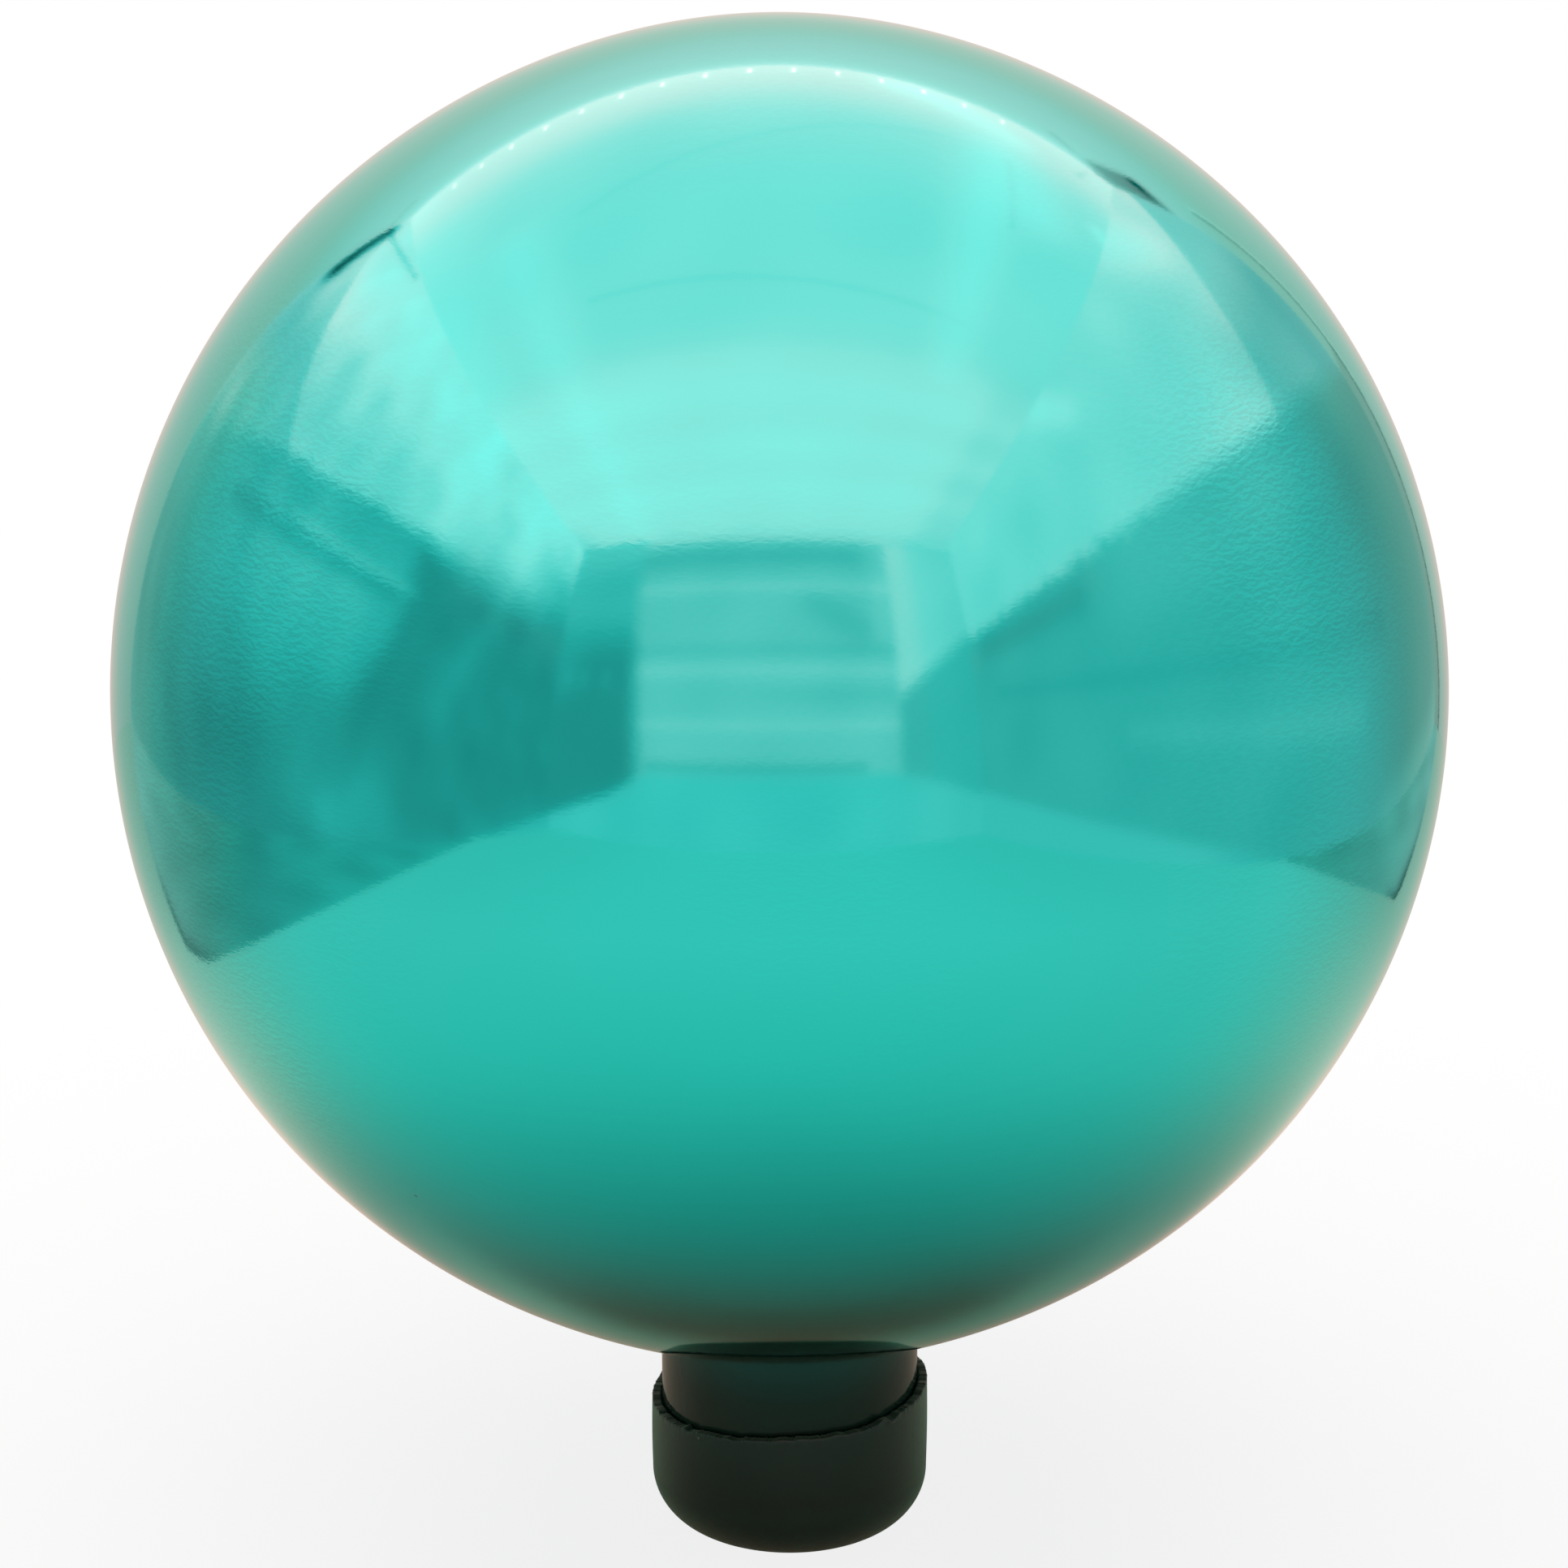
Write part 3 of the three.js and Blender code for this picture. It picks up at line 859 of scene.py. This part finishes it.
def front_cloth(x, z):
    """The light of the front cloth: the curtain, between the shade of the left corner and cloth that is lit
    above a slanting edge at the right. Its foot runs on from the floor and is the coolest part."""
    level = between(corner_level(x, z), curtain_level(x, z), side(x, z, CURTAIN_EDGE, 0.036))
    level = level + 0.07 * streak(x, z, CURTAIN_STRIP, 0.03)
    lit = (0.44 - 0.12 * soft_step(x, 0.35, 0.5)) * side(x, z, SLANTING_EDGE, 0.03)
    level = between(level, 0.76 + lit, soft_step(x, 0.29, 0.33) * fall(z, 0.84, 0.86))
    foot = front_foot(x)
    hung = soft_step(z, foot - 0.020, foot + 0.020)
    foot_warmth = 0.70 + 0.18 * soft_step(x, 0.2, 0.45)
    hung_warmth = 1.10 + 0.40 * soft_step(x, -0.43, -0.38) - 0.40 * soft_step(x, 0.35, 0.42)
    warmth = between(foot_warmth, hung_warmth, hung)
    return cloth_light(between(0.93, level, hung) * crumpled(x, z, seed=42), warmth)


def back_cloth(x, z):
    """The light of the back cloth: paler towards the lamps and darker past the right corner's seam."""
    level = 0.53 + 0.40 * z + 0.16 * soft_step(z, 0.50, 0.75) + 0.08 * soft_step(z, 0.72, 0.84)
    level = level + 0.36 * lamp_glare(z)
    level = level * (1.0 - 0.22 * soft_step(x, 0.483, 0.493) * fall(z, 0.34, 0.36))
    return cream_light(marked(level, x, z, BACK_MARKS), z)


def top_cloth(x, y):
    """The light of the lamp cloth overhead: brightest near the lamps, bright and ribbed across towards the
    front, and dim in the front's corners."""
    level = 1.29 + 0.24 * np.exp((y - TENT_BACK) / 0.12) + 0.10 * fall(y, -0.38, -0.28)
    level = level + 0.025 * np.sin(FULL_TURN * y / 0.155) * fall(y, -0.4, -0.3)
    level = level - 0.12 * soft_step(x, 0.38, 0.48) * fall(y, -0.40, -0.20)
    level = level - 0.02 * soft_step(x, 0.32, 0.38)
    level = level + 0.12 * fall(x, -0.65, -0.45) * soft_step(y, -0.6, -0.3)
    level = level - 0.12 * fall(y, -0.93, -0.80)
    level = level - 0.16 * fall(x, -0.65, -0.54) * fall(y, -0.90, -0.75)
    level = marked(level, x, y, TOP_MARKS)
    warmth = 0.73 + 0.17 * fall(y, -0.2, 0.05) + 0.34 * fall(y, -0.38, -0.20)
    warmth = warmth + 0.27 * soft_step(y, 0.3, 0.5)
    return cloth_light(level * (1.0 + 0.012 * cloth_waves(x, y, 0.3, seed=52)), warmth)


def glow_sheet(name, x, y, z, light):
    """A grid of points as one sheet that gives off each point's own light, and that only reflections see."""
    points = np.stack(np.broadcast_arrays(x, y, z), axis=-1)
    rows, columns = points.shape[:2]
    first = (np.arange(rows - 1)[:, None] * columns + np.arange(columns - 1)).ravel()
    faces = np.stack([first, first + 1, first + columns + 1, first + columns], axis=1)
    mesh = bpy.data.meshes.new(name)
    mesh.from_pydata(points.reshape(-1, 3).tolist(), [], faces.tolist())
    layer = mesh.color_attributes.new("glow", "FLOAT_COLOR", "POINT")
    colour = np.concatenate([light.reshape(-1, 3), np.ones((rows * columns, 1))], axis=1)
    layer.data.foreach_set("color", colour.astype(np.float32).ravel())
    sheet = bpy.data.objects.new(name, mesh)
    bpy.context.scene.collection.objects.link(sheet)
    mesh.materials.append(cloth_glow)
    for rays in ("camera", "diffuse", "transmission", "volume_scatter", "shadow"):
        setattr(sheet, "visible_" + rays, False)


def sheet_grid(a_range, b_range, spacing):
    """Two arrays of coordinates that cover a rectangle, about one spacing apart."""
    steps = [int((end - start) / spacing) + 2 for start, end in (a_range, b_range)]
    return np.meshgrid(np.linspace(*a_range, steps[0]), np.linspace(*b_range, steps[1]))


def flap_grid(wall, along, reaches):
    """A flap's x and y, and the share s of the way from its rim to the wall: x is the reach there plus s^2
    times what is left to the wall."""
    y, share = sheet_grid((along[0], along[-1]), (0.0, 1.0), FLAP_SPACING)
    reach = np.interp(y, along, reaches)
    return reach + share ** 2 * (wall - reach), y, share


def flap_sheet(name, x, y, level, rim, warmth, coolness):
    """A flap's sheet. Its cloth is mottled, and the rim's shade is taken off it."""
    mottled = level * (1.0 + 0.06 * cloth_waves(x, y, 0.08, seed=61))
    light = cloth_light(mottled - rim, warmth, coolness)
    glow_sheet(name, x, y, FLAP_HEIGHT, light)


def make_flaps():
    """The two flaps on the tent's floor. The left one is warm behind, and its tip has a bright rim with a
    shade within it. The right one's tip has a dark rim."""
    x, y, share = flap_grid(TENT_LEFT, LEFT_FLAP_ALONG, LEFT_FLAP_REACH)
    level = 0.55 - 0.12 * soft_step(y, -0.15, 0.0) + 0.12 * soft_step(y, 0.1, 0.4)
    rim = 0.22 * bell(share, 0.14, 0.09) * bell(y, 0.17, 0.08)
    rim = rim - 0.25 * bell(share, 0.0, 0.035) * bell(y, 0.13, 0.09)
    warmth = 0.9 + 0.6 * soft_step(y, 0.0, 0.15)
    coolness = 0.97 - 0.07 * soft_step(y, -0.05, 0.1)
    flap_sheet("flap_left", x, y, level, rim, warmth, coolness)

    x, y, share = flap_grid(TENT_RIGHT, RIGHT_FLAP_ALONG, RIGHT_FLAP_REACH)
    level = 0.51 - 0.06 * bell(y, 0.09, 0.06)
    rim = 0.48 * fall(share, 0.0, 0.45) * soft_step(y, 0.17, 0.23) * fall(y, 0.26, 0.45)
    flap_sheet("flap_right", x, y, level, rim, 1.25, 0.92)


def make_tent():
    """The five sheets of the tent, the two flaps that lie on its floor, and its row of lamps."""
    across, along, upward = (TENT_LEFT, TENT_RIGHT), (TENT_FRONT, TENT_BACK), (0.0, TENT_TOP)
    y, z = sheet_grid(along, upward, CLOTH_SPACING)
    glow_sheet("tent_left", TENT_LEFT, y, z, left_cloth(y, z))
    glow_sheet("tent_right", TENT_RIGHT, y, z, right_cloth(y, z))
    x, z = sheet_grid(across, upward, CLOTH_SPACING)
    glow_sheet("tent_front", x, TENT_FRONT, z, front_cloth(x, z))
    glow_sheet("tent_back", x, TENT_BACK, z, back_cloth(x, z))
    x, y = sheet_grid(across, along, CLOTH_SPACING)
    glow_sheet("tent_top", x, y, TENT_TOP, top_cloth(x, y))
    make_flaps()
    for number, x in enumerate(np.linspace(*LAMP_ROW, LAMP_COUNT)):
        a, b = np.meshgrid((x - LAMP_HALF_WIDTH, x + LAMP_HALF_WIDTH), LAMP_ALONG)
        light = np.broadcast_to(LAMP_LIGHT, (2, 2, 3))
        glow_sheet(f"lamp_{number}", a, b, TENT_TOP - LAMP_DROP, light)


def seen_first(tree, kinds):
    """1 on rays of the given kinds that haven't yet left a matt surface, and 0 on all others."""
    path = add(tree, "ShaderNodeLightPath")
    seen = path.outputs[kinds[0]]
    for kind in kinds[1:]:
        seen = worked_out(tree, "MAXIMUM", seen, path.outputs[kind])
    first = worked_out(tree, "LESS_THAN", path.outputs["Diffuse Depth"], 0.5)
    return product(tree, seen, first)


def make_cloth_glow():
    """An emission of the colour that each point of the cloth carries. It shows in reflections and lights
    nothing, so no lamp's worth of it is sampled."""
    material, tree, output = new_material("tent_cloth_glow")
    glow = add(tree, "ShaderNodeAttribute", attribute_name="glow").outputs["Color"]
    mirrored = seen_first(tree, ["Is Glossy Ray"])
    lamp = add(tree, "ShaderNodeEmission", Color=glow, Strength=mirrored)
    tree.links.new(lamp.outputs["Emission"], output.inputs["Surface"])
    material.cycles.emission_sampling = "NONE"
    return material


def matt_floor(tree, x, y, radius, wide, mirrored):
    """The floor near the ball, a plain matt surface. The mirror sees it cool in front of the ball, creamy
    behind it and a little darker far to its sides, and close to it a shade is painted that deepens the ball's
    shadow there."""
    front = blend(tree, ease(tree, x, 0.0, 0.25), NEAR_FRONT_LEFT, NEAR_FRONT_RIGHT)
    cloth = blend(tree, ease(tree, y, -0.12, 0.08), front, NEAR_BEHIND)
    # Painted shade: the floor's colour in the mirror darkened close to the ball, deepening its shadow there.
    close = ease(tree, radius, 0.08, 0.25, 0.80, 1.0)
    seen = blend(tree, mirrored, WHITE, scaled(tree, cloth, product(tree, close, wide)))
    return add(tree, "ShaderNodeBsdfDiffuse", Color=tinted(tree, seen, FLOOR_COLOUR)).outputs["BSDF"]


def white_floor(tree, y, wide, looked_at):
    """The floor far from the ball, which gives off light: as white as the background to the camera, and the
    colour of distant cloth in the mirror."""
    far_cloth = blend(tree, ease(tree, y, -0.1, 0.25), FAR_FRONT, FAR_BEHIND)
    seen = blend(tree, looked_at, scaled(tree, far_cloth, wide), WHITE)
    return add(tree, "ShaderNodeEmission", Color=seen).outputs["Emission"]


def foot_glow(tree, x, y, radius, mirrored):
    """The brown glow that the mirror sees on the floor close to the cap, redder in front and a little
    stronger to the left."""
    colour = blend(tree, ease(tree, y, -0.035, 0.01), GLOW_FRONT, GLOW_BEHIND)
    near = ease(tree, radius, 0.05, 0.14, 1.0, 0.0)
    fade = product(tree, near, ease(tree, x, -0.05, 0.05, 1.05, 0.85))
    glow = add(tree, "ShaderNodeEmission", Color=colour, Strength=product(tree, mirrored, fade))
    return glow.outputs["Emission"]


def pale_floor():
    """A matt floor that keeps the ball's shadow, which the camera sees at about a seventh of its depth. Away
    from the ball it gives off light: white to the camera and, further out, cloth's colour to the mirror."""
    material, tree, output = new_material("pale_floor")
    link = tree.links.new
    place = add(tree, "ShaderNodeTexCoord").outputs["Object"]
    split = add(tree, "ShaderNodeSeparateXYZ", Vector=place)
    x, y = split.outputs["X"], split.outputs["Y"]
    radius = add(tree, "ShaderNodeVectorMath", operation="LENGTH", Vector=place).outputs["Value"]
    looked_at = seen_first(tree, ["Is Camera Ray"])
    mirrored = seen_first(tree, ["Is Glossy Ray", "Is Transmission Ray"])
    wide = ease(tree, worked_out(tree, "ABSOLUTE", x, 0.0), 0.15, 0.50, 1.0, 0.93)

    to_camera = product(tree, looked_at, ease(tree, radius, 0.1, 0.4, 0.85, 1.0))
    to_mirror = product(tree, mirrored, ease(tree, radius, 0.15, 0.45))
    mix = add(tree, "ShaderNodeMixShader", Fac=worked_out(tree, "ADD", to_camera, to_mirror))
    link(matt_floor(tree, x, y, radius, wide, mirrored), mix.inputs[1])
    link(white_floor(tree, y, wide, looked_at), mix.inputs[2])
    both = add(tree, "ShaderNodeAddShader")
    link(mix.outputs["Shader"], both.inputs[0])
    link(foot_glow(tree, x, y, radius, mirrored), both.inputs[1])
    link(both.outputs["Shader"], output.inputs["Surface"])
    material.cycles.emission_sampling = "NONE"
    return material


def make_floor():
    """A square of floor round the ball."""
    size = FLOOR_HALF_WIDTH
    corners = [(-size, -size, 0), (size, -size, 0), (size, size, 0), (-size, size, 0)]
    mesh = bpy.data.meshes.new("studio_floor")
    mesh.from_pydata(corners, [], [(0, 1, 2, 3)])
    floor = bpy.data.objects.new("studio_floor", mesh)
    bpy.context.scene.collection.objects.link(floor)
    mesh.materials.append(pale_floor())


def make_world(fill):
    """White where it is looked at, and a soft even fill for everything that it lights."""
    world = bpy.data.worlds.new("white_studio")
    world.use_nodes = True
    tree = world.node_tree
    tree.nodes.clear()
    output = add(tree, "ShaderNodeOutputWorld")
    looked_at = seen_first(tree, ["Is Camera Ray", "Is Glossy Ray", "Is Transmission Ray"])
    strength = spread(tree, looked_at, fill, 1.0)
    background = add(tree, "ShaderNodeBackground", Color=(*WHITE, 1.0), Strength=strength)
    tree.links.new(background.outputs["Background"], output.inputs["Surface"])
    bpy.context.scene.world = world


def make_lamp(name, place, size, power):
    """A soft square lamp that looks straight down and that neither camera nor mirror sees."""
    data = bpy.data.lights.new(name, "AREA")
    data.shape = "RECTANGLE"
    data.size = size
    data.size_y = size
    data.energy = power
    lamp = bpy.data.objects.new(name, data)
    lamp.location = place
    lamp.visible_camera = False
    lamp.visible_glossy = False
    bpy.context.scene.collection.objects.link(lamp)


def make_camera():
    """The photograph's view: the lens makes the ball's edge as many pixels wide as it is there, and the
    camera is turned so that the ball's middle falls on its pixel."""
    middle = PICTURE_SIZE / 2
    edge_angle = math.asin(BALL_RADIUS / CAMERA_DISTANCE)
    focal_pixels = BALL_PIXEL_RADIUS / math.tan(edge_angle)
    aside = (middle - BALL_PIXEL_X) / focal_pixels * CAMERA_DISTANCE
    extra_pitch = math.atan((middle - BALL_PIXEL_Y) / focal_pixels)
    data = bpy.data.cameras.new("photo_camera")
    data.sensor_width = SENSOR_WIDTH
    data.lens = focal_pixels / PICTURE_SIZE * SENSOR_WIDTH
    data.clip_start = 0.01
    camera = bpy.data.objects.new("photo_camera", data)
    back = CAMERA_DISTANCE * math.cos(CAMERA_ELEVATION)
    above = CAMERA_DISTANCE * math.sin(CAMERA_ELEVATION)
    camera.location = (aside, -back, BALL_CENTRE + above)
    camera.rotation_euler = (QUARTER - CAMERA_ELEVATION - extra_pitch, 0.0, 0.0)
    bpy.context.scene.collection.objects.link(camera)
    bpy.context.scene.camera = camera


make_camera()
globe = make_globe()
globe.data.materials.append(mirror_lacquer())
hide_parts("glass_globe")
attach(globe, "globe")

cap = make_cap()
cap.data.materials.append(dipped_rubber())
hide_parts("rubber_cap")
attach(cap, "cap")

cloth_glow = make_cloth_glow()
make_tent()
make_floor()
make_world(fill=0.08)
make_lamp("soft_top_lamp", (-0.03, 0.0, 0.86), size=1.0, power=10.0)

bpy.context.scene.view_settings.view_transform = "Standard"
